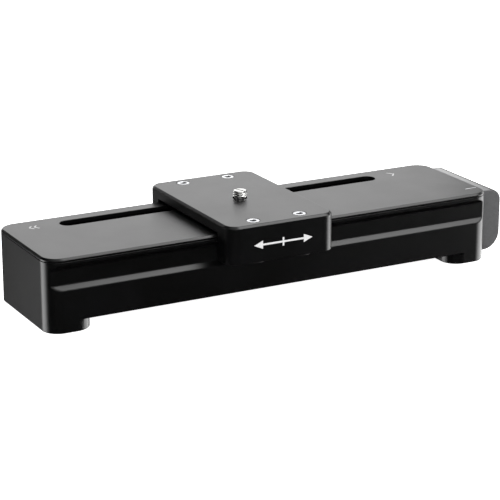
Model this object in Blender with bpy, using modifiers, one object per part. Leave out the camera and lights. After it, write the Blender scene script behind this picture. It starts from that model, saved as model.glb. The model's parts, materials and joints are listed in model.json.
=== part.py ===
"""Motorised camera slider.

A grooved housing on two foot bars carries a slotted top plate. A carriage hangs over
both long sides on four rollers that run in the grooves, and a toothed belt inside
the housing pulls it along. X runs along the slider, the front faces -Y, +Z is up.
Sizes are in millimetres and become metres where the meshes are made.
"""

import bmesh
import bpy
from math import cos, pi, radians, sin, sqrt
from mathutils import Matrix, Vector

metre = 0.001
gap = 0.3

# housing
body_length = 345.0
body_depth = 90.0
body_top = 49.4
body_underside = 8.2
corner_radius = 12.0
floor_thickness = 6.0
end_wall = 6.5
side_wall = 7.0
foot_length = 33.0
foot_underside = 0.4
foot_hole_inset = 11.5
pad_margin_x = 3.5
pad_margin_y = 6.0
pad_corner = 6.0
pad_recess = 1.0
edge_chamfer = 0.8
cavity_corner = 6.0
foot_screw_seat = 9.0
cable_window = (20.0, 9.0)

# grooves along both long sides
groove_centre = 38.2
groove_depth = 3.2
groove_mouth = 17.2

# top plate
plate_top = 51.7
plate_thickness = 1.3
plate_chamfer = 1.0
neck_inset = 1.2
slot_length = 251.0
slot_width = 12.3
slot_centre_x = -7.0
slot_rear_inset = 17.55
post_radius = 4.0
light_end_inset = 7.3
light_front_inset = 14.7
light_length = 9.4
light_width = 0.9
light_height = 1.4

# carriage
carriage_x = -8.2
carriage_length = 82.4
carriage_top = 60.5
carriage_chamfer = 1.6
carriage_radius = 9.0
carriage_plate = 7.1
skirt_bottom = 34.0
skirt_wall = 2.3
skirt_clearance = 1.0
travel = 200.0
axle_spacing = 35.72
tongue_length = 44.0
tongue_width = 9.3
tongue_bottom = 48.6
tongue_corner = 4.0

# rollers and their eccentric axles
roller_radius = 8.8
roller_half_height = 5.95
axle_radius = 2.5
axle_eccentricity = 1.36
bolt_head_radius = 4.5
bolt_head_height = 2.7
bolt_neck_radius = 4.0
boss_radius = 6.0
hex_socket_radius = 2.3
hex_socket_depth = 2.0
roller_play = 0.7
clip_radius = 4.4
clip_thickness = 0.8
pin_end = 0.5

# camera stud, 3/8 inch by 16 threads an inch
stud_radius = 4.76
stud_root = 3.95
stud_pitch = 1.5875
stud_top = 66.0
stud_flange_radius = 7.5
stud_flange_height = 2.5
stud_tip = 0.4
stud_land = 0.1
stud_relief = 0.8
stud_slot_width = 1.3
stud_slot_depth = 1.6
stud_slot_turn = -68.0

# belt drive
pulley_end_inset = 33.5
belt_line_offset = 0.125
drum_radius = 9.0
belt_thickness = 0.75
belt_bottom = 40.4
belt_width = 6.0
flange_rim = 2.0
flange_thickness = 0.8
motor_side = 35.2
motor_height = 21.5
motor_hole_offset = 13.0
motor_corner = 3.0
motor_bore_depth = 13.5
pilot_radius = 11.0
pilot_height = 1.5
bracket_thickness = 2.0
bracket_length = 34.8
bracket_foot_offset = -31.9
bracket_foot_half = 6.0
bracket_screw_offset = 10.0
idler_shelf = 5.0
idler_head_radius = 4.0
idler_head_height = 1.3
pulley_hub_radius = 5.0
clamp_length = 20.0
clamp_bottom = 38.6
clamp_screw_x = (-6.0, 6.0)

# electronics inside the housing
battery_size = (95.0, 38.0, 20.0)
battery_x = -64.5
bay_clearance = 2.5
board_size = (100.0, 36.0, 1.6)
board_x = 65.0
standoff_top = 18.0
standoff_radius = 3.2
board_hole_inset = 4.0
heat_sink_size = (18.0, 18.0, 8.0)
heat_sink_offset = -20.0
heat_sink_base = 2.5
fin_pitch = 3.6
fin_space = 1.8

# end block with the controls
block_length = 15.5
block_bottom = 4.7
block_top = 49.7
block_side_inset = 9.5
block_radius_top = 8.5
block_radius_bottom = 13.0
block_wall = 2.4
block_screw_inset = 11.0
block_boss_radius = 4.0
control_z = 27.0
port_z = 39.0
port_y = 14.0
port_width = 9.0
port_height = 3.2
jack_radius = 3.0
button_radius = 5.0
button_stem_radius = 1.5
button_stem_length = 3.0
button_flange_thickness = 1.4
button_travel = 0.8
switch_side = 8.0

# threads underneath for a tripod
bush_spacing = 20.0
bush_height = 8.7
bush_boss_wall = 3.0

# socket screws: shank radius, head radius, head height
m3_screw = (1.5, 2.75, 2.4)
m3_low_screw = (1.5, 2.75, 1.2)
board_screw = (1.25, 2.2, 1.4)
clamp_screw = (1.0, 1.9, 1.4)

floor_top = body_underside + floor_thickness
cavity_half_x = body_length / 2 - end_wall
cavity_half_y = body_depth / 2 - side_wall
post_x = body_length / 2 - foot_hole_inset
post_y = body_depth / 2 - corner_radius
block_depth = body_depth - 2 * block_side_inset
block_screw_y = post_y - block_screw_inset
plate_underside = body_top + gap
plate_bottom = carriage_top - carriage_plate
groove_floor_y = body_depth / 2 - groove_depth
groove_floor_half = groove_mouth / 2 - groove_depth
roller_y = groove_floor_y + roller_play + roller_radius
bolt_offset_y = roller_y + axle_eccentricity
carriage_depth = 2 * (roller_y + roller_radius + gap + skirt_wall)
slot_centre_y = body_depth / 2 - slot_rear_inset
light_x = body_length / 2 - light_end_inset
light_y = light_front_inset - body_depth / 2
bay_y = bay_clearance + battery_size[1] / 2 - cavity_half_y
base_x = -(block_length + gap) / 2
belt_inner = drum_radius + gap
belt_outer = belt_inner + belt_thickness
belt_line_y = slot_centre_y + belt_line_offset
pulley_x = body_length / 2 - pulley_end_inset
pulley_y = belt_line_y - (belt_inner + belt_outer) / 2
flange_radius = drum_radius + flange_rim
bracket_foot_y = pulley_y + bracket_foot_offset
belt_top = belt_bottom + belt_width
bracket_top = floor_top + gap + motor_height + gap + bracket_thickness
m3_hole = m3_screw[0] + gap
board_hole = board_screw[0] + gap
clamp_hole = clamp_screw[0] + gap
clamp_screw_y = slot_centre_y - tongue_width / 2 + 2.05


def clear_scene():
    for item in list(bpy.data.objects):
        bpy.data.objects.remove(item, do_unlink=True)


def new_collection(name):
    collection = bpy.data.collections.new(name)
    bpy.context.scene.collection.children.link(collection)
    return collection


def new_material(name, colour, metallic, roughness):
    material = bpy.data.materials.new(name)
    material.use_nodes = True
    surface = material.node_tree.nodes["Principled BSDF"]
    surface.inputs["Base Color"].default_value = (*colour, 1.0)
    surface.inputs["Metallic"].default_value = metallic
    surface.inputs["Roughness"].default_value = roughness
    material.diffuse_color = (*colour, 1.0)
    return material


def empty_at(name, location, parent=None):
    marker = bpy.data.objects.new(name, None)
    marker.empty_display_size = 0.01
    marker.location = Vector(location) * metre
    marker.parent = parent
    parts.objects.link(marker)
    return marker


# ---- shapes added to a mesh under construction, in millimetres ----

def add_box(bm, centre, size, corner=0.0, chamfer=0.0, segments=6):
    """A box with rounded upright edges and an optional chamfer round its top."""
    made = bmesh.ops.create_cube(bm, size=1.0)
    verts = made["verts"]
    bmesh.ops.scale(bm, vec=size, verts=verts)
    bmesh.ops.translate(bm, vec=centre, verts=verts)
    faces = {face for vert in verts for face in vert.link_faces}
    if corner:
        upright = {edge for vert in verts for edge in vert.link_edges
                   if abs(edge.verts[0].co.z - edge.verts[1].co.z) > size[2] / 2}
        made = bmesh.ops.bevel(bm, geom=list(upright), offset=corner, segments=segments,
                               profile=0.5, affect="EDGES")
        faces = {face for face in faces if face.is_valid} | set(made["faces"])
    if chamfer:
        level = centre[2] + size[2] / 2
        rim = {edge for face in faces for edge in face.edges
               if all(abs(vert.co.z - level) < 0.001 for vert in edge.verts)}
        bmesh.ops.bevel(bm, geom=list(rim), offset=chamfer, segments=1, profile=0.5,
                        affect="EDGES")


def add_cylinder(bm, centre, radius, length, axis="Z", segments=20):
    turn = {"X": Matrix.Rotation(pi / 2, 4, "Y"), "Y": Matrix.Rotation(-pi / 2, 4, "X"),
            "Z": Matrix.Identity(4)}[axis]
    bmesh.ops.create_cone(bm, cap_ends=True, segments=segments, radius1=radius, radius2=radius,
                          depth=length, matrix=Matrix.Translation(centre) @ turn)


def finish(bm, name, parent, location, material=None, smooth=True):
    """Turn a mesh under construction into an object; without a material it is a cutter."""
    bmesh.ops.scale(bm, vec=(metre, metre, metre), verts=bm.verts)
    mesh = bpy.data.meshes.new(name)
    bm.to_mesh(mesh)
    bm.free()
    return place(name, mesh, parent, location, material, smooth)


def place(name, mesh, parent, location, material=None, smooth=True):
    item = bpy.data.objects.new(name, mesh)
    item.parent = parent
    item.location = Vector(location) * metre
    if material is None:
        cutters.objects.link(item)
        item.hide_render = True
        item.display_type = "WIRE"
        return item
    parts.objects.link(item)
    mesh.materials.clear()
    mesh.materials.append(material)
    if smooth:
        mesh.shade_smooth()
        mesh.set_sharp_from_angle(angle=radians(32))
    return item


def combine(item, operation, *others):
    for other in others:
        step = item.modifiers.new(other.name, "BOOLEAN")
        step.operation = operation
        step.solver = "EXACT"
        step.object = other


def arc(centre, radius, start, end, steps):
    """Points on an arc, in degrees, both ends included."""
    angles = [radians(start + (end - start) * i / steps) for i in range(steps + 1)]
    return [(centre[0] + radius * cos(a), centre[1] + radius * sin(a)) for a in angles]


def outline_mesh(name, loops, thickness):
    """A flat outline, with any holes as further loops, drawn in XY and thickened along Z."""
    curve = bpy.data.curves.new(name, "CURVE")
    curve.dimensions = "2D"
    curve.fill_mode = "BOTH"
    curve.extrude = thickness * metre / 2
    for loop in loops:
        spline = curve.splines.new("POLY")
        spline.points.add(len(loop) - 1)
        for point, (u, v) in zip(spline.points, loop):
            point.co = (u * metre, v * metre, 0.0, 1.0)
        spline.use_cyclic_u = True
    holder = bpy.data.objects.new(name, curve)
    bpy.context.scene.collection.objects.link(holder)
    bpy.context.view_layer.update()
    drawn = holder.evaluated_get(bpy.context.evaluated_depsgraph_get())
    mesh = bpy.data.meshes.new_from_object(drawn)
    bpy.data.objects.remove(holder, do_unlink=True)
    bm = bmesh.new()
    bm.from_mesh(mesh)
    bmesh.ops.remove_doubles(bm, verts=bm.verts, dist=0.00001)
    bmesh.ops.recalc_face_normals(bm, faces=bm.faces)
    bm.to_mesh(mesh)
    bm.free()
    return mesh


def along_x(item):
    """Stand an outline drawn in XY up so that it is a YZ section extruded along X."""
    item.rotation_euler = (pi / 2, 0, pi / 2)
    return item


def along_y(item):
    """Stand an outline drawn in XY up so that it is an XZ section extruded along Y."""
    item.rotation_euler = (pi / 2, 0, 0)
    return item


def turned(name, profile, parent, location, material, steps=24, closed=False):
    """A turned piece: its profile (radius, height) runs down the outer side."""
    bm = bmesh.new()
    verts = [bm.verts.new((radius * metre, 0.0, height * metre)) for radius, height in profile]
    pairs = list(zip(verts, verts[1:]))
    if closed:
        pairs.append((verts[-1], verts[0]))
    for first, second in pairs:
        bm.edges.new((first, second))
    mesh = bpy.data.meshes.new(name)
    bm.to_mesh(mesh)
    bm.free()
    item = place(name, mesh, parent, location, material, smooth=False)
    screw = item.modifiers.new("turn", "SCREW")
    screw.steps = steps
    screw.render_steps = steps
    screw.use_merge_vertices = True
    screw.merge_threshold = 0.00001
    screw.use_smooth_shade = True
    return item


def ring(name, inner, outer, low, high, parent, location, material, steps=24):
    profile = [(outer, high), (outer, low), (inner, low), (inner, high)]
    return turned(name, profile, parent, location, material, steps, closed=True)


def cap_screw(name, size, length, parent, location, rotation=(0, 0, 0)):
    """A socket screw whose head stands on z = 0 and whose shank runs down from there."""
    radius, head_radius, head_height = size
    socket = head_radius * 0.5
    depth = head_height * 0.55
    profile = [(0, head_height - depth), (socket, head_height - depth), (socket, head_height),
               (head_radius, head_height), (head_radius, 0), (radius, 0), (radius, -length),
               (0, -length)]
    item = turned(name, profile, parent, location, steel, steps=14)
    item.rotation_euler = rotation
    return item


# ---- housing ----

def groove_cutter(name, side):
    reach = groove_depth + 1.0
    outer = groove_floor_half + reach
    floor_y = side * groove_floor_y
    mouth_y = side * (groove_floor_y + reach)
    section = [(floor_y, groove_centre - groove_floor_half), (mouth_y, groove_centre - outer),
               (mouth_y, groove_centre + outer), (floor_y, groove_centre + groove_floor_half)]
    mesh = outline_mesh(name, [section], body_length + 10)
    return along_x(place(name, mesh, base, (0, 0, 0)))


def arch_cutter():
    """The space between the foot bars, whose inner corners are as round as the outer ones."""
    inner_x = body_length / 2 - foot_length
    centre_x = inner_x + corner_radius
    centre_y = body_depth / 2 - corner_radius
    past_y = body_depth / 2 + 3
    right_back = arc((centre_x, centre_y), corner_radius, 180, 90, 6)
    quarter = right_back + [(centre_x, past_y)]
    left_back = [(-x, y) for x, y in reversed(quarter)]
    left_front = [(x, -y) for x, y in reversed(left_back)]
    right_front = [(-x, y) for x, y in reversed(left_front)]
    outline = quarter + left_back + left_front + right_front
    height = body_underside + 5
    mesh = outline_mesh("arch", [outline], height)
    return place("arch", mesh, base, (0, 0, body_underside - height / 2))


def board_corners():
    half_x = board_size[0] / 2 - board_hole_inset
    half_y = board_size[1] / 2 - board_hole_inset
    return [(board_x + sx * half_x, bay_y + sy * half_y) for sx in (-1, 1) for sy in (-1, 1)]


def foot_corners():
    return [(sx * post_x, sy * post_y) for sx in (-1, 1) for sy in (-1, 1)]


def bracket_screw_spots(end):
    return [(end * pulley_x + side * bracket_screw_offset, bracket_foot_y) for side in (-1, 1)]


def bushes():
    """Name, place along Y, outer radius and thread radius of each tripod thread."""
    return [("large_thread_bush", 0.0, 6.5, 4.1),
            ("small_thread_bush_front", -bush_spacing, 5.0, 2.6),
            ("small_thread_bush_rear", bush_spacing, 5.0, 2.6)]


def make_housing():
    bm = bmesh.new()
    height = body_top - foot_underside
    add_box(bm, (0, 0, foot_underside + height / 2), (body_length, body_depth, height),
            corner=corner_radius, chamfer=edge_chamfer, segments=7)
    housing = finish(bm, "housing", base, (0, 0, 0), black_anodised)

    bm = bmesh.new()
    depth = body_top - floor_top + 5
    add_box(bm, (0, 0, floor_top + depth / 2), (2 * cavity_half_x, 2 * cavity_half_y, depth),
            corner=cavity_corner, segments=4)
    cavity = finish(bm, "housing_cavity", base, (0, 0, 0))

    bm = bmesh.new()
    sink = 1.0
    for _, y, outer, _ in bushes():
        top = body_underside + bush_height + 0.6
        low = floor_top - sink
        add_cylinder(bm, (0, y, (low + top) / 2), outer + bush_boss_wall, top - low)
    for x, y in board_corners():
        low = floor_top - sink
        add_cylinder(bm, (x, y, (low + standoff_top) / 2), standoff_radius, standoff_top - low,
                     segments=14)
    bosses = finish(bm, "housing_bosses", base, (0, 0, 0))

    bm = bmesh.new()
    for _, y, outer, _ in bushes():
        add_cylinder(bm, (0, y, floor_top), outer + gap, 30)
    for x, y in board_corners():
        add_cylinder(bm, (x, y, floor_top + 5), board_hole, 10, segments=12)
    for end in (-1, 1):
        for x, y in bracket_screw_spots(end):
            add_cylinder(bm, (x, y, floor_top), m3_hole, 8, segments=12)
    for x, y in foot_corners():
        add_cylinder(bm, (x, y, floor_top / 2), m3_hole, floor_top + 2, segments=14)
    wall_x = body_length / 2 - end_wall / 2
    for y in (-block_screw_y, block_screw_y):
        add_cylinder(bm, (wall_x, y, control_z), m3_hole, end_wall + 4, axis="X", segments=12)
    add_box(bm, (wall_x, 0, port_z), (end_wall + 4, *cable_window))
    holes = finish(bm, "housing_holes", base, (0, 0, 0))

    bm = bmesh.new()
    for x, y in foot_corners():
        low = foot_underside - 1
        add_cylinder(bm, (x, y, (low + foot_screw_seat) / 2), m3_screw[1] + 1.5 * gap,
                     foot_screw_seat - low, segments=14)
    counterbores = finish(bm, "foot_counterbores", base, (0, 0, 0))

    bm = bmesh.new()
    for end in (-1, 1):
        centre_x = end * (body_length - foot_length) / 2
        add_box(bm, (centre_x, 0, foot_underside),
                (foot_length - 2 * pad_margin_x, body_depth - 2 * pad_margin_y, 2 * pad_recess),
                corner=pad_corner, segments=4)
    recesses = finish(bm, "pad_recesses", base, (0, 0, 0))

    grooves = [groove_cutter("front_groove", -1), groove_cutter("rear_groove", 1)]
    combine(housing, "DIFFERENCE", arch_cutter(), *grooves, cavity)
    combine(housing, "UNION", bosses)
    combine(housing, "DIFFERENCE", holes, counterbores, recesses)
    return housing


def make_feet():
    for end, side in ((-1, "left"), (1, "right")):
        x = end * (body_length - foot_length) / 2
        length = foot_length - 2 * pad_margin_x - 2 * gap
        depth = body_depth - 2 * pad_margin_y - 2 * gap
        height = foot_underside + pad_recess - gap
        bm = bmesh.new()
        add_box(bm, (0, 0, height / 2), (length, depth, height), corner=pad_corner - gap, segments=4)
        finish(bm, "foot_pad_" + side, base, (x, 0, 0), rubber)
    for number, (x, y) in enumerate(foot_corners(), 1):
        cap_screw("cover_screw_%d" % number, m3_screw, 17.0, base, (x, y, foot_screw_seat - gap),
                  rotation=(pi, 0, 0))
    for name, y, outer, inner in bushes():
        ring(name, inner, outer, 0.0, bush_height, base, (0, y, body_underside + gap), steel,
             steps=28)


# ---- top plate ----

def make_top_plate():
    bm = bmesh.new()
    add_box(bm, (0, 0, plate_top - plate_thickness / 2), (body_length, body_depth, plate_thickness),
            corner=corner_radius, chamfer=plate_chamfer, segments=7)
    plate = finish(bm, "top_plate", base, (0, 0, 0), black_anodised)

    bm = bmesh.new()
    neck = plate_top - 0.6 - plate_underside
    add_box(bm, (0, 0, plate_underside + neck / 2),
            (body_length - 2 * neck_inset, body_depth - 2 * neck_inset, neck),
            corner=corner_radius - neck_inset, segments=7)
    neck_shape = finish(bm, "plate_neck", base, (0, 0, 0))

    bm = bmesh.new()
    post_low = floor_top + gap
    post_high = plate_underside + 0.8
    for x, y in foot_corners():
        add_cylinder(bm, (x, y, (post_low + post_high) / 2), post_radius, post_high - post_low)
    posts = finish(bm, "plate_posts", base, (0, 0, 0))

    bm = bmesh.new()
    add_box(bm, (slot_centre_x, slot_centre_y, plate_top), (slot_length, slot_width, 10),
            corner=slot_width / 2 - 0.02, segments=8)
    for x, y in foot_corners():
        add_cylinder(bm, (x, y, post_low + 5), m3_hole, 28, segments=14)
    add_box(bm, (light_x, light_y, plate_top), (light_length + 2 * gap, light_width + 2 * gap, 3.4))
    openings = finish(bm, "plate_openings", base, (0, 0, 0))
    combine(plate, "UNION", neck_shape, posts)
    combine(plate, "DIFFERENCE", openings)

    bm = bmesh.new()
    add_box(bm, (0, 0, -light_height / 2), (light_length, light_width, light_height))
    finish(bm, "status_light", base, (light_x, light_y, plate_top - 0.05), light_guide, smooth=False)


# ---- belt drive ----

def bracket_section(thickness):
    """A step-shaped strip: a foot on the floor, an upright and a shelf under the pulley."""
    low = floor_top + gap
    shelf = bracket_top - thickness
    shelf_end = pulley_y + motor_side / 2 + 0.4
    foot_end = bracket_foot_y - bracket_foot_half
    upright = bracket_foot_y + bracket_foot_half
    return [(shelf_end, shelf), (shelf_end, bracket_top), (upright, bracket_top),
            (upright, low + bracket_thickness), (foot_end, low + bracket_thickness),
            (foot_end, low), (upright + bracket_thickness, low), (upright + bracket_thickness, shelf)]


def make_bracket(name, end, thickness, holes):
    mesh = outline_mesh(name, [bracket_section(thickness)], bracket_length)
    bracket = along_x(place(name, mesh, base, (end * pulley_x, 0, 0), steel, smooth=False))
    bm = bmesh.new()
    for x, y, radius in holes:
        add_cylinder(bm, (end * pulley_x + x, pulley_y + y, bracket_top), radius, 14, segments=24)
    for x, y in bracket_screw_spots(end):
        add_cylinder(bm, (x, y, floor_top + 1), m3_hole, 8, segments=12)
    combine(bracket, "DIFFERENCE", finish(bm, name + "_holes", base, (0, 0, 0)))
    foot_top = floor_top + gap + bracket_thickness
    for number, (x, y) in enumerate(bracket_screw_spots(end), 1):
        cap_screw("%s_screw_%d" % (name, number), m3_screw, 5.8, base, (x, y, foot_top + gap))


def pulley(name, parent):
    low = bracket_top + gap
    flange_low = belt_bottom - gap - flange_thickness
    flange_high = belt_top + gap
    profile = [(flange_radius, flange_high + flange_thickness), (flange_radius, flange_high),
               (drum_radius, flange_high), (drum_radius, belt_bottom - gap),
               (flange_radius, belt_bottom - gap), (flange_radius, flange_low),
               (pulley_hub_radius, flange_low), (pulley_hub_radius, low), (axle_radius + gap, low),
               (axle_radius + gap, flange_high + flange_thickness)]
    return turned(name, profile, parent, (0, 0, 0), aluminium, steps=36, closed=True)


def make_motor():
    corners = [(sx * motor_hole_offset, sy * motor_hole_offset) for sx in (-1, 1) for sy in (-1, 1)]
    low = floor_top + gap
    top = low + motor_height
    bm = bmesh.new()
    add_box(bm, (0, 0, low + motor_height / 2), (motor_side, motor_side, motor_height),
            corner=motor_corner, segments=3)
    motor = finish(bm, "motor", base, (-pulley_x, pulley_y, 0), motor_black)
    bm = bmesh.new()
    add_cylinder(bm, (0, 0, top), pilot_radius, 2 * pilot_height, segments=28)
    pilot = finish(bm, "motor_pilot", base, (-pulley_x, pulley_y, 0))
    bm = bmesh.new()
    add_cylinder(bm, (0, 0, top), axle_radius + gap, 2 * motor_bore_depth, segments=20)
    for x, y in corners:
        add_cylinder(bm, (x, y, top), m3_hole, 13, segments=12)
    bores = finish(bm, "motor_bores", base, (-pulley_x, pulley_y, 0))
    combine(motor, "UNION", pilot)
    combine(motor, "DIFFERENCE", bores)
    holes = [(0, 0, pilot_radius + gap)] + [(x, y, m3_hole) for x, y in corners]
    make_bracket("motor_bracket", -1, bracket_thickness, holes)
    for number, (x, y) in enumerate(corners, 1):
        cap_screw("motor_screw_%d" % number, m3_low_screw, 8.0, base,
                  (x - pulley_x, y + pulley_y, bracket_top + gap))
    drive_axis = empty_at("drive_axis", (-pulley_x, pulley_y, 0), base)
    pulley("drive_pulley", drive_axis)
    bm = bmesh.new()
    shaft_low = top - motor_bore_depth + gap
    shaft_high = belt_top + gap + flange_thickness - 0.2
    add_cylinder(bm, (0, 0, (shaft_low + shaft_high) / 2), axle_radius, shaft_high - shaft_low)
    finish(bm, "motor_shaft", drive_axis, (0, 0, 0), steel)


def make_idler():
    make_bracket("idler_bracket", 1, idler_shelf, [(0, 0, axle_radius + gap)])
    pulley("idler_pulley", empty_at("idler_axis", (pulley_x, pulley_y, 0), base))
    head_low = belt_top + 2 * gap + flange_thickness
    cap_screw("idler_axle", (axle_radius, idler_head_radius, idler_head_height),
              head_low - bracket_top + idler_shelf - 1, base, (pulley_x, pulley_y, head_low))


def make_belt():
    def loop(radius):
        right = arc((pulley_x, 0), radius, -90, 90, 18)
        left = arc((-pulley_x, 0), radius, 90, 270, 18)
        return right + left
    mesh = outline_mesh("drive_belt", [loop(belt_outer), loop(belt_inner)], belt_width)
    place("drive_belt", mesh, base, (0, pulley_y, belt_bottom + belt_width / 2), rubber)


# ---- electronics ----

def make_electronics():
    low = floor_top + gap
    bm = bmesh.new()
    add_box(bm, (0, 0, battery_size[2] / 2), battery_size, corner=4.0, chamfer=1.0, segments=4)
    finish(bm, "battery_pack", base, (battery_x, bay_y, low), battery_wrap)

    board_low = standoff_top + gap
    bm = bmesh.new()
    add_box(bm, (0, 0, board_size[2] / 2), board_size, corner=2.0, segments=3)
    board = finish(bm, "control_board", base, (board_x, bay_y, board_low), board_green)
    bm = bmesh.new()
    for x, y in board_corners():
        add_cylinder(bm, (x, y, board_low), board_hole, 8, segments=12)
    combine(board, "DIFFERENCE", finish(bm, "board_holes", base, (0, 0, 0)))
    board_high = board_low + board_size[2]
    for number, (x, y) in enumerate(board_corners(), 1):
        cap_screw("board_screw_%d" % number, board_screw, 4.6, base, (x, y, board_high + gap))

    sink_place = (board_x + heat_sink_offset, bay_y, board_high + gap)
    length, depth, height = heat_sink_size
    bm = bmesh.new()
    add_box(bm, (0, 0, height / 2), heat_sink_size)
    heat_sink = finish(bm, "heat_sink", base, sink_place, aluminium, smooth=False)
    bm = bmesh.new()
    last = int((length / 2 - fin_space) / fin_pitch)
    for index in range(-last, last + 1):
        add_box(bm, (index * fin_pitch, 0, height), (fin_space, depth + 4, 2 * (height - heat_sink_base)))
    combine(heat_sink, "DIFFERENCE", finish(bm, "heat_sink_channels", base, sink_place))


# ---- end block ----

def block_outline(inset, inner_x):
    """Side view of the block: square against the housing, rounded at its outer end."""
    left = body_length / 2 + gap
    right = left + block_length
    low_centre = (right - block_radius_bottom, block_bottom + block_radius_bottom)
    high_centre = (right - block_radius_top, block_top - block_radius_top)
    start = (inner_x, block_bottom + inset)
    low_arc = arc(low_centre, block_radius_bottom - inset, -90, 0, 7)
    high_arc = arc(high_centre, block_radius_top - inset, 0, 90, 7)
    return [start] + low_arc + high_arc + [(inner_x, block_top - inset)]


def make_end_block():
    left = body_length / 2 + gap
    right = left + block_length
    mesh = outline_mesh("end_block", [block_outline(0.0, left)], block_depth)
    block = along_y(place("end_block", mesh, base, (0, 0, 0), grey_plastic))
    mesh = outline_mesh("block_hollow", [block_outline(block_wall, left - 2)],
                        block_depth - 2 * block_wall)
    hollow = along_y(place("block_hollow", mesh, base, (0, 0, 0)))
    bm = bmesh.new()
    for y in (-block_screw_y, block_screw_y):
        add_cylinder(bm, ((left + right - 1) / 2, y, control_z), block_boss_radius, block_length - 1,
                     axis="X")
    bosses = finish(bm, "block_bosses", base, (0, 0, 0))
    bm = bmesh.new()
    for y in (-block_screw_y, block_screw_y):
        add_cylinder(bm, (left + 3, y, control_z), m3_hole, 14, axis="X", segments=12)
    add_cylinder(bm, (right, 0, control_z), button_radius + gap, 3 * block_wall, axis="X", segments=32)
    add_cylinder(bm, (right, port_y, port_z), jack_radius + gap, 3 * block_wall, axis="X", segments=24)
    add_box(bm, (right, -port_y, port_z),
            (3 * block_wall, port_width + 2 * gap, port_height + 2 * gap))
    holes = finish(bm, "block_holes", base, (0, 0, 0))
    combine(block, "DIFFERENCE", hollow)
    combine(block, "UNION", bosses)
    combine(block, "DIFFERENCE", holes)
    inner_face = body_length / 2 - end_wall
    for number, y in enumerate((-block_screw_y, block_screw_y), 1):
        cap_screw("end_block_screw_%d" % number, m3_screw, 13.0, base,
                  (inner_face - gap, y, control_z), rotation=(0, -pi / 2, 0))
    make_controls(left, right)


def make_controls(left, right):
    wall_inside = right - block_wall
    button_axis = empty_at("button_axis", (right, 0, control_z), base)
    flange_radius_out = button_radius + 1.2
    flange_high = wall_inside - gap - right
    flange_low = flange_high - button_flange_thickness
    stem_low = flange_low - button_stem_length
    face = -0.2
    profile = [(0, face), (button_radius - 0.3, face), (button_radius, face - 0.3),
               (button_radius, flange_high), (flange_radius_out, flange_high),
               (flange_radius_out, flange_low), (button_stem_radius, flange_low),
               (button_stem_radius, stem_low), (0, stem_low)]
    button = turned("power_button", profile, button_axis, (0, 0, 0), black_plastic, steps=32)
    button.rotation_euler = (0, pi / 2, 0)

    switch_end = right + stem_low - button_travel - gap
    bm = bmesh.new()
    add_box(bm, ((left + switch_end) / 2, 0, control_z), (switch_end - left, switch_side, switch_side))
    finish(bm, "button_switch", base, (0, 0, 0), black_plastic, smooth=False)

    wall = 0.4
    length = right - gap - left
    bm = bmesh.new()
    add_box(bm, (length / 2, 0, 0), (length, port_width, port_height))
    port = finish(bm, "charge_port", base, (left, -port_y, port_z), steel, smooth=False)
    bm = bmesh.new()
    add_box(bm, (length, 0, 0), (13.0, port_width - 2 * wall, port_height - 2 * wall))
    socket = finish(bm, "charge_socket", base, (left, -port_y, port_z))
    bm = bmesh.new()
    add_box(bm, (length - 4.5, 0, 0), (7.0, 6.4, 0.8))
    tongue = finish(bm, "charge_tongue", base, (left, -port_y, port_z))
    combine(port, "DIFFERENCE", socket)
    combine(port, "UNION", tongue)

    depth = 9.0
    bore = 1.4
    profile = [(0, length - depth), (bore, length - depth), (bore, length), (jack_radius, length),
               (jack_radius, 0), (0, 0)]
    jack = turned("trigger_port", profile, base, (left, port_y, port_z), steel, steps=20)
    jack.rotation_euler = (0, pi / 2, 0)


# ---- carriage ----

def axle_spots():
    """Name, side and place of each roller axle, seen from the carriage's centre."""
    spots = []
    for side, word in ((-1, "front"), (1, "rear")):
        for end, end_word in ((-1, "left"), (1, "right")):
            spots.append((word + "_" + end_word, side, end * axle_spacing / 2))
    return spots


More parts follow.
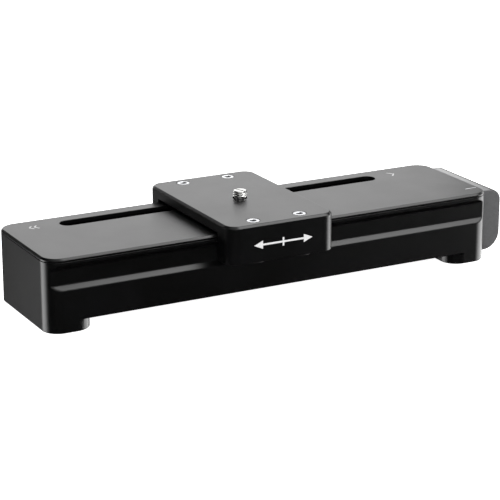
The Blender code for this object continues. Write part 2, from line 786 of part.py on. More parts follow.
def make_carriage():
    height = carriage_top - skirt_bottom
    bm = bmesh.new()
    add_box(bm, (0, 0, skirt_bottom + height / 2), (carriage_length, carriage_depth, height),
            corner=carriage_radius, chamfer=carriage_chamfer, segments=7)
    frame = finish(bm, "carriage", slide, (0, 0, 0), black_anodised)

    pocket_height = plate_bottom - skirt_bottom + 4
    pocket_z = plate_bottom - pocket_height / 2
    bm = bmesh.new()
    add_box(bm, (0, 0, pocket_z), (carriage_length - 2 * skirt_wall,
                                   carriage_depth - 2 * skirt_wall, pocket_height),
            corner=carriage_radius - skirt_wall, segments=6)
    pocket = finish(bm, "carriage_pocket", slide, (0, 0, 0))
    bm = bmesh.new()
    add_box(bm, (0, 0, pocket_z), (carriage_length + 10, body_depth + 2 * skirt_clearance, pocket_height))
    channel = finish(bm, "carriage_channel", slide, (0, 0, 0))

    bm = bmesh.new()
    boss_low = groove_centre + roller_half_height + gap
    for _, side, x in axle_spots():
        add_cylinder(bm, (x, side * bolt_offset_y, (boss_low + plate_bottom + 1) / 2), boss_radius,
                     plate_bottom + 1 - boss_low, segments=24)
    tongue_height = plate_bottom + 1 - tongue_bottom
    add_box(bm, (0, slot_centre_y, tongue_bottom + tongue_height / 2),
            (tongue_length, tongue_width, tongue_height), corner=tongue_corner, segments=4)
    additions = finish(bm, "carriage_additions", slide, (0, 0, 0))

    bm = bmesh.new()
    for _, side, x in axle_spots():
        add_cylinder(bm, (x, side * bolt_offset_y, carriage_top - 12), bolt_neck_radius + gap, 40,
                     segments=28)
    add_cylinder(bm, (0, 0, carriage_top), stud_radius + 0.35, 20, segments=32)
    for x in clamp_screw_x:
        add_cylinder(bm, (x, clamp_screw_y, tongue_bottom), clamp_hole, 9.2, segments=12)
    bores = finish(bm, "carriage_bores", slide, (0, 0, 0))
    bm = bmesh.new()
    for _, side, x in axle_spots():
        depth = bolt_head_height + gap
        add_cylinder(bm, (x, side * bolt_offset_y, carriage_top - depth + 5), bolt_head_radius + gap,
                     10, segments=28)
    add_cylinder(bm, (0, 0, plate_bottom - 5 + stud_flange_height + 2 * gap),
                 stud_flange_radius + gap, 10, segments=28)
    counterbores = finish(bm, "carriage_counterbores", slide, (0, 0, 0))
    combine(frame, "DIFFERENCE", pocket, channel)
    combine(frame, "UNION", additions)
    combine(frame, "DIFFERENCE", bores, counterbores)


def make_axles():
    pin_low = groove_centre - roller_half_height - gap - clip_thickness - pin_end
    neck_low = groove_centre + roller_half_height + gap
    for name, side, x in axle_spots():
        head_low = carriage_top - bolt_head_height
        edge = 0.4
        profile = [(0, carriage_top), (bolt_head_radius - edge, carriage_top),
                   (bolt_head_radius, carriage_top - edge), (bolt_head_radius, head_low),
                   (bolt_neck_radius, head_low), (bolt_neck_radius, neck_low), (0, neck_low)]
        bolt = turned("axle_bolt_" + name, profile, slide, (x, side * bolt_offset_y, 0), steel,
                      steps=28)
        bm = bmesh.new()
        pin_high = neck_low + 1
        add_cylinder(bm, (0, side * (roller_y - bolt_offset_y), (pin_low + pin_high) / 2),
                     axle_radius, pin_high - pin_low)
        pin = finish(bm, "pin_" + name, slide, (x, side * bolt_offset_y, 0))
        bm = bmesh.new()
        add_cylinder(bm, (0, 0, carriage_top), hex_socket_radius, 2 * hex_socket_depth, segments=6)
        socket = finish(bm, "socket_" + name, slide, (x, side * bolt_offset_y, 0))
        combine(bolt, "UNION", pin)
        combine(bolt, "DIFFERENCE", socket)

        roller_axis = empty_at("roller_axis_" + name, (x, side * roller_y, groove_centre), slide)
        crown = groove_floor_half + roller_play - gap * sqrt(2)
        shoulder = roller_radius - (roller_half_height - crown)
        profile = [(shoulder, roller_half_height), (roller_radius, crown), (roller_radius, -crown),
                   (shoulder, -roller_half_height), (axle_radius + gap, -roller_half_height),
                   (axle_radius + gap, roller_half_height)]
        turned("roller_" + name, profile, roller_axis, (0, 0, 0), roller_plastic, steps=36,
               closed=True)
        clip_high = groove_centre - roller_half_height - gap
        ring("axle_clip_" + name, axle_radius + gap, clip_radius, clip_high - clip_thickness, clip_high,
             slide, (x, side * roller_y, 0), steel, steps=18)


def make_stud():
    flange_low = plate_bottom + gap
    flange_high = flange_low + stud_flange_height
    relief_top = carriage_top + stud_relief
    first_crest = stud_top - stud_tip - stud_land
    count = int((first_crest - relief_top) / stud_pitch + 0.5)
    profile = [(0, stud_top), (stud_radius - stud_tip, stud_top), (stud_radius, stud_top - stud_tip)]
    for index in range(count):
        crest = first_crest - index * stud_pitch
        if index:
            profile.append((stud_radius, crest + 0.1))
        profile.append((stud_radius, crest - 0.1))
        profile.append((stud_root, crest - stud_pitch / 2))
    profile += [(stud_root, carriage_top - gap), (stud_radius, carriage_top - gap - 0.8),
                (stud_radius, flange_high), (stud_flange_radius, flange_high),
                (stud_flange_radius, flange_low), (0, flange_low)]
    stud = turned("camera_stud", profile, slide, (0, 0, 0), bright_steel, steps=32)
    bm = bmesh.new()
    add_box(bm, (0, 0, stud_top), (20, stud_slot_width, 2 * stud_slot_depth))
    turn = Matrix.Rotation(radians(stud_slot_turn), 3, "Z")
    bmesh.ops.rotate(bm, verts=bm.verts, cent=(0, 0, 0), matrix=turn)
    combine(stud, "DIFFERENCE", finish(bm, "stud_slot", slide, (0, 0, 0)))


def make_clamp():
    clamp_top = tongue_bottom - gap
    bm = bmesh.new()
    add_box(bm, (0, slot_centre_y, (clamp_bottom + clamp_top) / 2),
            (clamp_length, tongue_width, clamp_top - clamp_bottom), corner=1.0, segments=2)
    clamp = finish(bm, "belt_clamp", slide, (0, 0, 0), aluminium)
    bm = bmesh.new()
    slit_top = belt_top + gap
    add_box(bm, (0, belt_line_y, slit_top - 10), (clamp_length + 10, belt_thickness + 2 * gap, 20))
    slit = finish(bm, "clamp_slit", slide, (0, 0, 0))
    bm = bmesh.new()
    for x in clamp_screw_x:
        add_cylinder(bm, (x, clamp_screw_y, clamp_bottom), clamp_hole, 40, segments=12)
    screw_bores = finish(bm, "clamp_bores", slide, (0, 0, 0))
    combine(clamp, "DIFFERENCE", slit, screw_bores)
    for number, x in enumerate(clamp_screw_x, 1):
        cap_screw("clamp_screw_%d" % number, clamp_screw, 14.2, slide,
                  (x, clamp_screw_y, clamp_bottom - gap), rotation=(pi, 0, 0))


clear_scene()
parts = new_collection("camera_slider")
cutters = new_collection("cutters")

black_anodised = new_material("black_anodised", (0.022, 0.022, 0.024), 0.6, 0.34)
aluminium = new_material("aluminium", (0.62, 0.62, 0.63), 1.0, 0.35)
steel = new_material("steel", (0.55, 0.55, 0.56), 1.0, 0.3)
bright_steel = new_material("bright_steel", (0.75, 0.75, 0.76), 1.0, 0.15)
motor_black = new_material("motor_black", (0.03, 0.03, 0.03), 0.3, 0.5)
black_plastic = new_material("black_plastic", (0.03, 0.03, 0.032), 0.0, 0.45)
grey_plastic = new_material("grey_plastic", (0.13, 0.13, 0.135), 0.0, 0.45)
roller_plastic = new_material("roller_plastic", (0.02, 0.02, 0.02), 0.0, 0.4)
rubber = new_material("rubber", (0.018, 0.018, 0.018), 0.0, 0.8)
battery_wrap = new_material("battery_wrap", (0.05, 0.12, 0.3), 0.0, 0.4)
board_green = new_material("board_green", (0.01, 0.08, 0.03), 0.0, 0.4)
light_guide = new_material("light_guide", (0.8, 0.8, 0.8), 0.0, 0.3)

base = empty_at("base", (base_x, 0, 0))
slide = empty_at("carriage_slide", (base_x + carriage_x, 0, 0))

make_housing()
make_feet()
make_top_plate()
make_motor()
make_idler()
make_belt()
make_electronics()
make_end_block()
make_carriage()
make_axles()
make_stud()
make_clamp()
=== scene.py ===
import bpy
import bmesh
import json
from math import cos, floor, pi, radians, sin
from mathutils import Matrix, Vector


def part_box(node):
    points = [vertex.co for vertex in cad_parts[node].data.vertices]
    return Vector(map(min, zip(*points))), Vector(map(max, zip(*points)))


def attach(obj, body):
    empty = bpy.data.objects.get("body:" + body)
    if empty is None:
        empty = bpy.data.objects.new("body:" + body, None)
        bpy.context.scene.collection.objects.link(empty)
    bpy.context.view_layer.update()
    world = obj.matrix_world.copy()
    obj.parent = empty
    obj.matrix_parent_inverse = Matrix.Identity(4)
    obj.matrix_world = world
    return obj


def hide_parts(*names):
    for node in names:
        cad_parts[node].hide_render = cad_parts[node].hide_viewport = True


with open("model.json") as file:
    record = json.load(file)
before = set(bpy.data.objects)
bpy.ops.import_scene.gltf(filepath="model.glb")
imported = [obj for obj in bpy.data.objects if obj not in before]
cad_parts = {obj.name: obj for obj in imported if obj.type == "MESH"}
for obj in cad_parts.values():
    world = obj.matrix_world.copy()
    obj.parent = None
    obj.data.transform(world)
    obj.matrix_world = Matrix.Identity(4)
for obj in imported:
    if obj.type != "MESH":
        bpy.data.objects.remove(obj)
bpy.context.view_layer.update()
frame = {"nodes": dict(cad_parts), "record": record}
mm = 0.001
clear = 1.0  # how far a cutting shape reaches past the piece that it cuts
scene = bpy.context.scene


# colours, nodes and materials

def linearColor(hexCode):
    # sRGB hex to the linear values that the shaders work in
    parts = [int(hexCode[i:i + 2], 16) / 255 for i in (1, 3, 5)]
    return [p / 12.92 if p <= 0.04045 else ((p + 0.055) / 1.055) ** 2.4 for p in parts] + [1.0]


def addNode(tree, kind, settings=None, links=None):
    # settings: socket or attribute name -> value; links: socket name -> the output that feeds it
    node = tree.nodes.new(kind)
    for name, value in (settings or {}).items():
        if name in node.inputs:
            node.inputs[name].default_value = value
        else:
            setattr(node, name, value)
    for name, source in (links or {}).items():
        tree.links.new(source, node.inputs[name])
    return node


def startMaterial(name, color, metallic, roughness, **more):
    material = bpy.data.materials.new(name)
    material.use_nodes = True
    tree = material.node_tree
    shader = tree.nodes["Principled BSDF"]
    values = {"Base Color": linearColor(color), "Metallic": metallic, "Roughness": roughness, **more}
    for socket, value in values.items():
        shader.inputs[socket].default_value = value
    where = addNode(tree, "ShaderNodeTexCoord")
    return material, tree, shader, where.outputs["Object"]


def addGrain(tree, shader, where, sizeMm, heightMm, strength=1.0, detail=2.0):
    # an even, random texture in the surface: grains of one size and height
    noise = addNode(tree, "ShaderNodeTexNoise", {"Scale": 1 / (sizeMm * mm), "Detail": detail},
                    {"Vector": where})
    bump = addNode(tree, "ShaderNodeBump", {"Strength": strength, "Distance": heightMm * mm},
                   {"Height": noise.outputs["Fac"]})
    tree.links.new(bump.outputs["Normal"], shader.inputs["Normal"])


def addCloud(tree, shader, where, sizeMm, socket, low, high):
    # slow, slight change over the surface, as handling and uneven finishing leave it
    noise = addNode(tree, "ShaderNodeTexNoise", {"Scale": 1 / (sizeMm * mm), "Detail": 3.0},
                    {"Vector": where})
    spread = addNode(tree, "ShaderNodeMapRange", {"From Min": 0.3, "From Max": 0.7, "To Min": low,
                                                  "To Max": high}, {"Value": noise.outputs["Fac"]})
    tree.links.new(spread.outputs["Result"], shader.inputs[socket])


def addTint(tree, shader, where, sizeMm, dark, light):
    # a colour that drifts between two close shades
    noise = addNode(tree, "ShaderNodeTexNoise", {"Scale": 1 / (sizeMm * mm), "Detail": 4.0},
                    {"Vector": where})
    ramp = addNode(tree, "ShaderNodeValToRGB", None, {"Fac": noise.outputs["Fac"]})
    for stop, place, color in zip(ramp.color_ramp.elements, (0.35, 0.65), (dark, light)):
        stop.position = place
        stop.color = linearColor(color)
    tree.links.new(ramp.outputs["Color"], shader.inputs["Base Color"])


def makeBlackAnodised():
    # aluminium, bead-blasted and dyed black: a clear oxide layer over black dye, so faces seen straight on
    # are near black and slanting ones take a soft grey sheen. Blast grain is about 0.1 mm; it is drawn at
    # 0.8 mm so that it shows.
    material, tree, shader, where = startMaterial("bead_blasted_black_anodised_aluminium",
                                                  "#040404", 0.0, 0.34, IOR=1.5)
    addTint(tree, shader, where, 30, "#030303", "#050506")
    addCloud(tree, shader, where, 24, "Roughness", 0.33, 0.352)
    addGrain(tree, shader, where, 0.8, 0.016, 0.6)
    return material


def makeMachinedAluminium():
    # aluminium, turned or milled and left bare: bright, with fine cutter lines 0.2 mm apart, drawn at 0.4
    material, tree, shader, where = startMaterial("machined_aluminium", "#cfd0d2", 1.0, 0.34)
    addCloud(tree, shader, where, 6, "Roughness", 0.28, 0.4)
    wave = addNode(tree, "ShaderNodeTexWave", {"wave_type": "RINGS", "rings_direction": "Z",
                                               "Scale": 1 / (0.4 * mm) / (2 * pi), "Distortion": 0.6},
                   {"Vector": where})
    bump = addNode(tree, "ShaderNodeBump", {"Strength": 0.25, "Distance": 0.01 * mm},
                   {"Height": wave.outputs["Fac"]})
    tree.links.new(bump.outputs["Normal"], shader.inputs["Normal"])
    return material


def makeZincSteel():
    # steel, zinc-plated: a bluish silver with a faint cloudiness from the plating bath
    material, tree, shader, where = startMaterial("bright_zinc_plated_steel", "#c4c6c9", 1.0, 0.26)
    addTint(tree, shader, where, 3, "#bcbec2", "#cbcccd")
    addCloud(tree, shader, where, 2, "Roughness", 0.2, 0.32)
    addGrain(tree, shader, where, 0.6, 0.004, 0.5)
    return material


def makeStainlessSteel():
    # stainless steel, turned: bright, with reflections softened by the turning marks
    material, tree, shader, where = startMaterial("turned_stainless_steel", "#d6d6d4", 1.0, 0.3)
    addCloud(tree, shader, where, 3, "Roughness", 0.26, 0.36)
    addGrain(tree, shader, where, 0.5, 0.002, 0.4)
    return material


def makeMotorPaint():
    # steel can, powder-coated satin black: a slight orange peel about 1 mm across
    material, tree, shader, where = startMaterial("satin_black_powder_coat", "#1c1c1d", 0.0, 0.42)
    addGrain(tree, shader, where, 1.0, 0.03, 0.5)
    return material


def makeGreyAbs():
    # ABS, moulded mid grey and varnished: grain of about 0.2 mm from a spark-eroded mould, drawn at 0.9 mm,
    # under a thin clear coat that brightens where it is seen at a slant
    material, tree, shader, where = startMaterial(
        "varnished_grey_abs", "#474748", 0.0, 0.34, IOR=1.54, **{"Coat Weight": 0.7, "Coat Roughness": 0.22})
    addTint(tree, shader, where, 1.2, "#444445", "#4a4a4b")
    addGrain(tree, shader, where, 0.9, 0.02, 0.4)
    return material


def makeBlackAbs():
    # ABS, moulded black: the same spark-eroded grain, a little finer
    material, tree, shader, where = startMaterial("moulded_black_abs", "#161617", 0.0, 0.4, IOR=1.54)
    addGrain(tree, shader, where, 0.6, 0.02, 0.6)
    return material


def makeAcetal():
    # acetal, turned: waxy black with a soft low gloss
    material, tree, shader, where = startMaterial("turned_black_acetal", "#0c0c0d", 0.0, 0.55, IOR=1.48)
    addCloud(tree, shader, where, 4, "Roughness", 0.5, 0.6)
    return material


def makeNitrileRubber():
    # nitrile rubber, moulded: matt charcoal that scatters the light, with a fine dusty bloom
    material, tree, shader, where = startMaterial("moulded_nitrile_rubber", "#18181a", 0.0, 0.78)
    addTint(tree, shader, where, 4, "#151516", "#1e1e20")
    addGrain(tree, shader, where, 0.7, 0.04, 0.7)
    return material


def makeShrinkWrap():
    # PVC shrink wrap: glossy blue film, with soft wrinkles some 6 mm apart where it has drawn tight
    material, tree, shader, where = startMaterial("blue_pvc_shrink_wrap", "#1f4a8c", 0.0, 0.22, IOR=1.53)
    addGrain(tree, shader, where, 6.0, 0.25, 0.5, 3.0)
    return material


def makeSolderMask():
    # glass-epoxy board under green solder mask: copper tracks 1 mm wide show as paler green lines
    material, tree, shader, where = startMaterial("green_solder_mask", "#0b4a22", 0.0, 0.3, IOR=1.5)
    bricks = addNode(tree, "ShaderNodeTexBrick",
                     {"Scale": 1.0, "Brick Width": 9 * mm, "Row Height": 2.4 * mm, "Mortar Size": 0.4 * mm,
                      "Color1": linearColor("#0b4a22"), "Color2": linearColor("#0d4f26"),
                      "Mortar": linearColor("#2f7d45")}, {"Vector": where})
    tree.links.new(bricks.outputs["Color"], shader.inputs["Base Color"])
    return material


def makeLightGuide():
    # acrylic, moulded milky: glossy outside and bright from the light that spreads inside it
    material, tree, shader, where = startMaterial("milky_acrylic", "#b9babc", 0.0, 0.22, IOR=1.49)
    addGrain(tree, shader, where, 2.0, 0.01, 0.4)
    return material


def makeInk():
    # pad-printed ink: pale grey and slightly matt, thin enough to take the grain of what is below
    material, tree, shader, where = startMaterial("pale_pad_print_ink", "#b2b2b2", 0.0, 0.5)
    addTint(tree, shader, where, 1.0, "#aeaeae", "#b8b8b8")
    addGrain(tree, shader, where, 0.8, 0.012, 0.4)
    return material


def makeSocketShade():
    # cold-forged steel inside a hex socket, coloured darker as painted shade for the shadow inside the hole,
    # so that the sockets read as holes
    material, tree, shader, where = startMaterial("socket_painted_shade_steel", "#707071", 0.4, 0.5)
    addTint(tree, shader, where, 1.0, "#68686a", "#78787a")
    return material


finishes = {"black_anodised": makeBlackAnodised(), "aluminium": makeMachinedAluminium(),
            "steel": makeZincSteel(), "bright_steel": makeStainlessSteel(), "motor_black": makeMotorPaint(),
            "grey_plastic": makeGreyAbs(), "black_plastic": makeBlackAbs(), "roller_plastic": makeAcetal(),
            "rubber": makeNitrileRubber(), "battery_wrap": makeShrinkWrap(), "board_green": makeSolderMask(),
            "light_guide": makeLightGuide()}
printInk = makeInk()
# painted shade for the inside of the bolt sockets
socketShade = makeSocketShade()
print("materials ready")


# camera and studio

camera = {"azimuth": 28.19, "elevation": 17.69, "distance": 1.333, "lens": 140.6,
          "aim": (-28.2, -37.5, 34.5)}


def makeCamera():
    azimuth, elevation = radians(camera["azimuth"]), radians(camera["elevation"])
    look = Vector((sin(azimuth) * cos(elevation), cos(azimuth) * cos(elevation), -sin(elevation)))
    data = bpy.data.cameras.new("camera")
    data.lens = camera["lens"]
    data.sensor_width = 36
    data.clip_end = 50
    item = bpy.data.objects.new("camera", data)
    item.location = Vector(camera["aim"]) * mm - look * camera["distance"]
    item.rotation_euler = look.to_track_quat("-Z", "Y").to_euler()
    scene.collection.objects.link(item)
    scene.camera = item
    print("camera ready")


# panels of soft light round the object: the way each one lies, its distance and size in metres, and its
# brightness. Those below the horizon give gloss only. The room's own light falls on matt surfaces, so that
# what shines shows nothing but the panels.
studio = {
    "panels": {
        "overhead": {"towards": (0.45, -0.30, 0.84), "away": 1.5, "size": (0.9, 0.9), "radiance": 5.2},
        "ceiling": {"towards": (-0.05, 0.05, 1.0), "away": 1.6, "size": (1.6, 1.2), "radiance": 0.9},
        "back": {"towards": (0.23, 0.92, 0.31), "away": 1.8, "size": (1.7, 1.2), "radiance": 1.85},
        "left": {"towards": (-0.86, 0.46, -0.25), "away": 1.5, "size": (0.95, 1.1), "radiance": 5.2},
        "right": {"towards": (0.98, -0.04, -0.14), "away": 1.5, "size": (1.6, 1.4), "radiance": 4.7},
        "front": {"towards": (-0.30, -0.88, 0.36), "away": 1.8, "size": (1.8, 0.8), "radiance": 1.6},
        "frontLow": {"towards": (0.75, -0.62, -0.28), "away": 1.8, "size": (1.3, 0.9), "radiance": 0.03},
        "rearLow": {"towards": (-0.30, 0.90, -0.33), "away": 1.8, "size": (2.0, 0.9), "radiance": 0.08},
    },
    "room": 1.15,
    "floorGlow": 1.0,
    "floorReach": 12,
}


def makeStudio():
    scene.view_settings.view_transform = "Standard"
    scene.view_settings.look = "None"
    world = bpy.data.worlds.new("studio")
    world.use_nodes = True
    world.node_tree.nodes["Background"].inputs["Color"].default_value = (1, 1, 1, 1)
    world.node_tree.nodes["Background"].inputs["Strength"].default_value = studio["room"]
    world.cycles_visibility.glossy = False
    scene.world = world
    for name, panel in studio["panels"].items():
        data = bpy.data.lights.new(name, "AREA")
        data.shape = "RECTANGLE"
        data.size, data.size_y = panel["size"]
        data.energy = panel["radiance"] * pi * data.size * data.size_y
        item = bpy.data.objects.new(name, data)
        direction = Vector(panel["towards"]).normalized()
        item.location = direction * panel["away"] + Vector((0, 0, 0.03))
        item.rotation_euler = (-direction).to_track_quat("-Z", "Y").to_euler()
        item.visible_diffuse = name == "overhead"
        scene.collection.objects.link(item)
    reach = studio["floorReach"]
    mesh = bpy.data.meshes.new("floor")
    mesh.from_pydata([(-reach, -reach, 0), (reach, -reach, 0), (reach, reach, 0), (-reach, reach, 0)],
                     [], [(0, 1, 2, 3)])
    floorSheet = bpy.data.objects.new("floor", mesh)
    floorSheet.visible_glossy = False
    scene.collection.objects.link(floorSheet)
    # matt paper with a glow of its own, so that it stays white
    glow = {"Emission Color": (1, 1, 1, 1), "Emission Strength": studio["floorGlow"]}
    paper = startMaterial("matt_white_paper", "#f7f7f7", 0.0, 0.9, **{"Specular IOR Level": 0.0, **glow})[0]
    mesh.materials.append(paper)
    print("studio ready")


makeCamera()
makeStudio()


# mesh tools; shapes are drawn in millimetres

def boxOf(node):
    # middle and size of a node's box
    low, high = (Vector(corner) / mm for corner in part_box(node))
    return (low + high) / 2, high - low


def blockRing(halfX, halfY, radius, z, steps=16, centre=(0, 0)):
    # a rectangle with round corners, at one height
    points = []
    for corner, (signX, signY) in enumerate(((1, 1), (-1, 1), (-1, -1), (1, -1))):
        for i in range(steps + 1):
            angle = pi / 2 * (corner + i / steps)
            points.append(Vector((centre[0] + signX * (halfX - radius) + radius * cos(angle),
                                  centre[1] + signY * (halfY - radius) + radius * sin(angle), z)))
    return points


def roundRing(radius, z, steps=48, centre=(0, 0)):
    return [Vector((centre[0] + radius * cos(2 * pi * i / steps),
                    centre[1] + radius * sin(2 * pi * i / steps), z)) for i in range(steps)]


def roundOver(edge, steps=4):
    # a rounded edge as (inset, way from the face), from the face down to the full width
    return [(edge * (1 - sin(pi / 2 * i / steps)), edge * (1 - cos(pi / 2 * i / steps)))
            for i in range(steps + 1)]


def loft(bm, rings, joined=False):
    # skin over rings of equal count; it ends in two caps, or runs back into its first ring
    made = [[bm.verts.new(point) for point in ring] for ring in rings]
    pairs = list(zip(made, made[1:]))
    if joined:
        pairs.append((made[-1], made[0]))
    for first, second in pairs:
        for i in range(len(first)):
            j = (i + 1) % len(first)
            bm.faces.new((first[i], first[j], second[j], second[i]))
    if not joined:
        bm.faces.new(list(reversed(made[0])))
        bm.faces.new(made[-1])


def lathe(bm, profile, centre=(0, 0), steps=48, joined=False):
    # profile: (radius, height) points; an unjoined one ends in flat caps
    loft(bm, [roundRing(radius, z, steps, centre) for radius, z in profile], joined)


def toObject(bm, name, turn=None):
    bmesh.ops.recalc_face_normals(bm, faces=bm.faces)
    if turn is not None:
        bmesh.ops.transform(bm, matrix=turn, verts=bm.verts)
    bmesh.ops.scale(bm, vec=(mm, mm, mm), verts=bm.verts)
    mesh = bpy.data.meshes.new(name)
    bm.to_mesh(mesh)
    bm.free()
    item = bpy.data.objects.new(name, mesh)
    scene.collection.objects.link(item)
    return item


def carve(item, operation, bm, turn=None):
    # join or cut one shape, and keep the result as the piece's own mesh
    other = toObject(bm, item.name + "_tool", turn)
    step = item.modifiers.new("carve", "BOOLEAN")
    step.operation = operation
    step.solver = "EXACT"
    step.object = other
    bpy.context.view_layer.update()
    result = bpy.data.meshes.new_from_object(item.evaluated_get(bpy.context.evaluated_depsgraph_get()))
    item.modifiers.remove(step)
    item.data = result
    bpy.data.objects.remove(other, do_unlink=True)


def finishPiece(item, material, body, nodes=(), sharpAbove=34):
    # shading, finish, and the body it rides on
    tidy = bmesh.new()
    tidy.from_mesh(item.data)
    bmesh.ops.remove_doubles(tidy, verts=tidy.verts, dist=0.000002)
    bmesh.ops.dissolve_degenerate(tidy, edges=tidy.edges, dist=0.000001)
    tidy.to_mesh(item.data)
    tidy.free()
    item.data.materials.clear()
    item.data.materials.append(material)
    item.data.shade_smooth()
    item.data.set_sharp_from_angle(angle=radians(sharpAbove))
    weighted = item.modifiers.new("even_shading", "WEIGHTED_NORMAL")
    weighted.keep_sharp = True
    weighted.weight = 80
    if nodes:
        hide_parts(*nodes)
    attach(item, body)
    return item


def softMin(a, b, blend):
    # the smaller of two, with the change-over rounded
    h = max(blend - abs(a - b), 0) / blend
    return min(a, b) - h * h * blend / 4


# housing

# the groove's rings stand close together over its slanting sides; topDrop is the open gap below the plate
housing = {"corner": 12.0, "edge": 0.8, "topEdge": 0.3, "topDrop": 0.45, "footLength": 33.0,
           "grooveCentre": 38.2, "grooveHalf": 8.6, "grooveDepth": 3.2, "grooveSoftness": 0.5,
           "flankBand": 4.6, "flankMargin": 0.8, "ringStep": 0.25, "underside": 8.2, "floorTop": 14.2,
           "endWall": 6.5, "sideWall": 7.0, "cavityCorner": 6.0, "rimBreak": 0.3, "floorFillet": 0.5,
           "bushes": ((0, 6.8), (-20, 5.3), (20, 5.3)), "postInset": (11.5, 12.0),
           "padMargin": (3.5, 6.0), "padDepth": 1.0, "lowerEdgeStop": 1.0}
plate = {"neckInset": 1.2, "neckTop": 49.3, "neckGap": 0.05, "edge": 1.3, "soft": 0.12,
         "slot": (251.0, 12.3), "slotCentre": (-7.0, 27.45), "slotEdge": 0.35, "post": 4.0, "bore": 1.8,
         "postGap": 0.02, "lightGap": 0.25}


def grooveLimit(z):
    # how far out the side wall may reach at this height
    half = boxOf("housing")[1].y / 2
    outline = half + abs(z - housing["grooveCentre"]) - housing["grooveHalf"]
    return -softMin(-(half - housing["grooveDepth"]), -outline, housing["grooveSoftness"])


def makeHousing():
    centre, size = boxOf("housing")
    low, high = centre.z - size.z / 2, centre.z + size.z / 2
    halfX, halfY, corner, edge = size.x / 2, size.y / 2, housing["corner"], housing["edge"]
    softness, band, step = housing["grooveSoftness"], housing["flankBand"], housing["ringStep"]
    reach = housing["grooveHalf"] + housing["flankMargin"]
    levels = [(inset, low + down) for inset, down in roundOver(edge)]
    for start in (housing["grooveCentre"] - reach, housing["grooveCentre"] + reach - band):
        levels += [(0, start + step * i) for i in range(int(band / step) + 1)]
    rimHigh = high - housing["topDrop"]
    levels += [(inset, rimHigh - down) for inset, down in reversed(roundOver(housing["topEdge"]))]
    rings = []
    for inset, z in levels:
        ring = blockRing(halfX - inset, halfY - inset, corner - inset, z, 20)
        limit = grooveLimit(z)
        for point in ring:
            if limit < halfY + softness:
                side = 1 if point.y > 0 else -1
                point.y = side * softMin(abs(point.y), limit, softness)
        rings.append(ring)
    insideX, insideY = halfX - housing["endWall"], halfY - housing["sideWall"]
    rim, rimBreak, fillet = housing["cavityCorner"], housing["rimBreak"], housing["floorFillet"]
    for inset, z in ((-rimBreak, rimHigh), (0, rimHigh - rimBreak), (0, housing["floorTop"] + fillet),
                     (fillet, housing["floorTop"])):
        rings.append(blockRing(insideX - inset, insideY - inset, rim - inset, z, 20))
    bm = bmesh.new()
    loft(bm, rings)
    shell = toObject(bm, "housing_shell")

    # the space between the foot bars, with their inner corners as round as the outer ones
    archX = halfX - housing["footLength"] + corner
    bm = bmesh.new()
    rings = []
    heights = [(edge, low - clear)] + [(inset, low + down) for inset, down in roundOver(edge)]
    for inset, z in heights + [(0, housing["underside"])]:
        quarter = [(archX - (corner - inset) * cos(pi / 2 * i / 12),
                    halfY - corner + (corner - inset) * sin(pi / 2 * i / 12)) for i in range(13)]
        quarter.append((archX, halfY + clear))
        back = quarter + [(-x, y) for x, y in reversed(quarter)]
        rings.append([Vector((x, y, z)) for x, y in back + [(-x, -y) for x, y in back]])
    loft(bm, rings)
    carve(shell, "DIFFERENCE", bm)

    # the long lower edges, rounded over between the feet
    bm = bmesh.new()
    for side in (-1, 1):
        base = housing["underside"]
        section = [(halfY - inset, base + down) for inset, down in roundOver(edge)]
        section += [(halfY + clear, base + edge), (halfY + clear, base - clear), (halfY - edge, base - clear)]
        stop = archX - housing["lowerEdgeStop"]
        loft(bm, [[Vector((x, side * y, z)) for y, z in section] for x in (-stop, stop)])
    carve(shell, "DIFFERENCE", bm)

    # recesses for the foot pads, and holes for the threaded bushes
    footX = halfX - housing["footLength"] / 2
    marginX, marginY = housing["padMargin"]
    bm = bmesh.new()
    for side in (-1, 1):
        spot = (side * footX, 0)
        loft(bm, [blockRing(housing["footLength"] / 2 - marginX, halfY - marginY, rim, z, 8, spot)
                  for z in (low - clear, low + housing["padDepth"])])
    for y, radius in housing["bushes"]:
        lathe(bm, [(radius, housing["underside"] - clear), (radius, housing["floorTop"] + clear)], (0, y), 40)
    carve(shell, "DIFFERENCE", bm)
    shell.location = (centre.x * mm, 0, 0)
    finishPiece(shell, finishes["black_anodised"], "housing", ["housing"])
    print("housing ready")


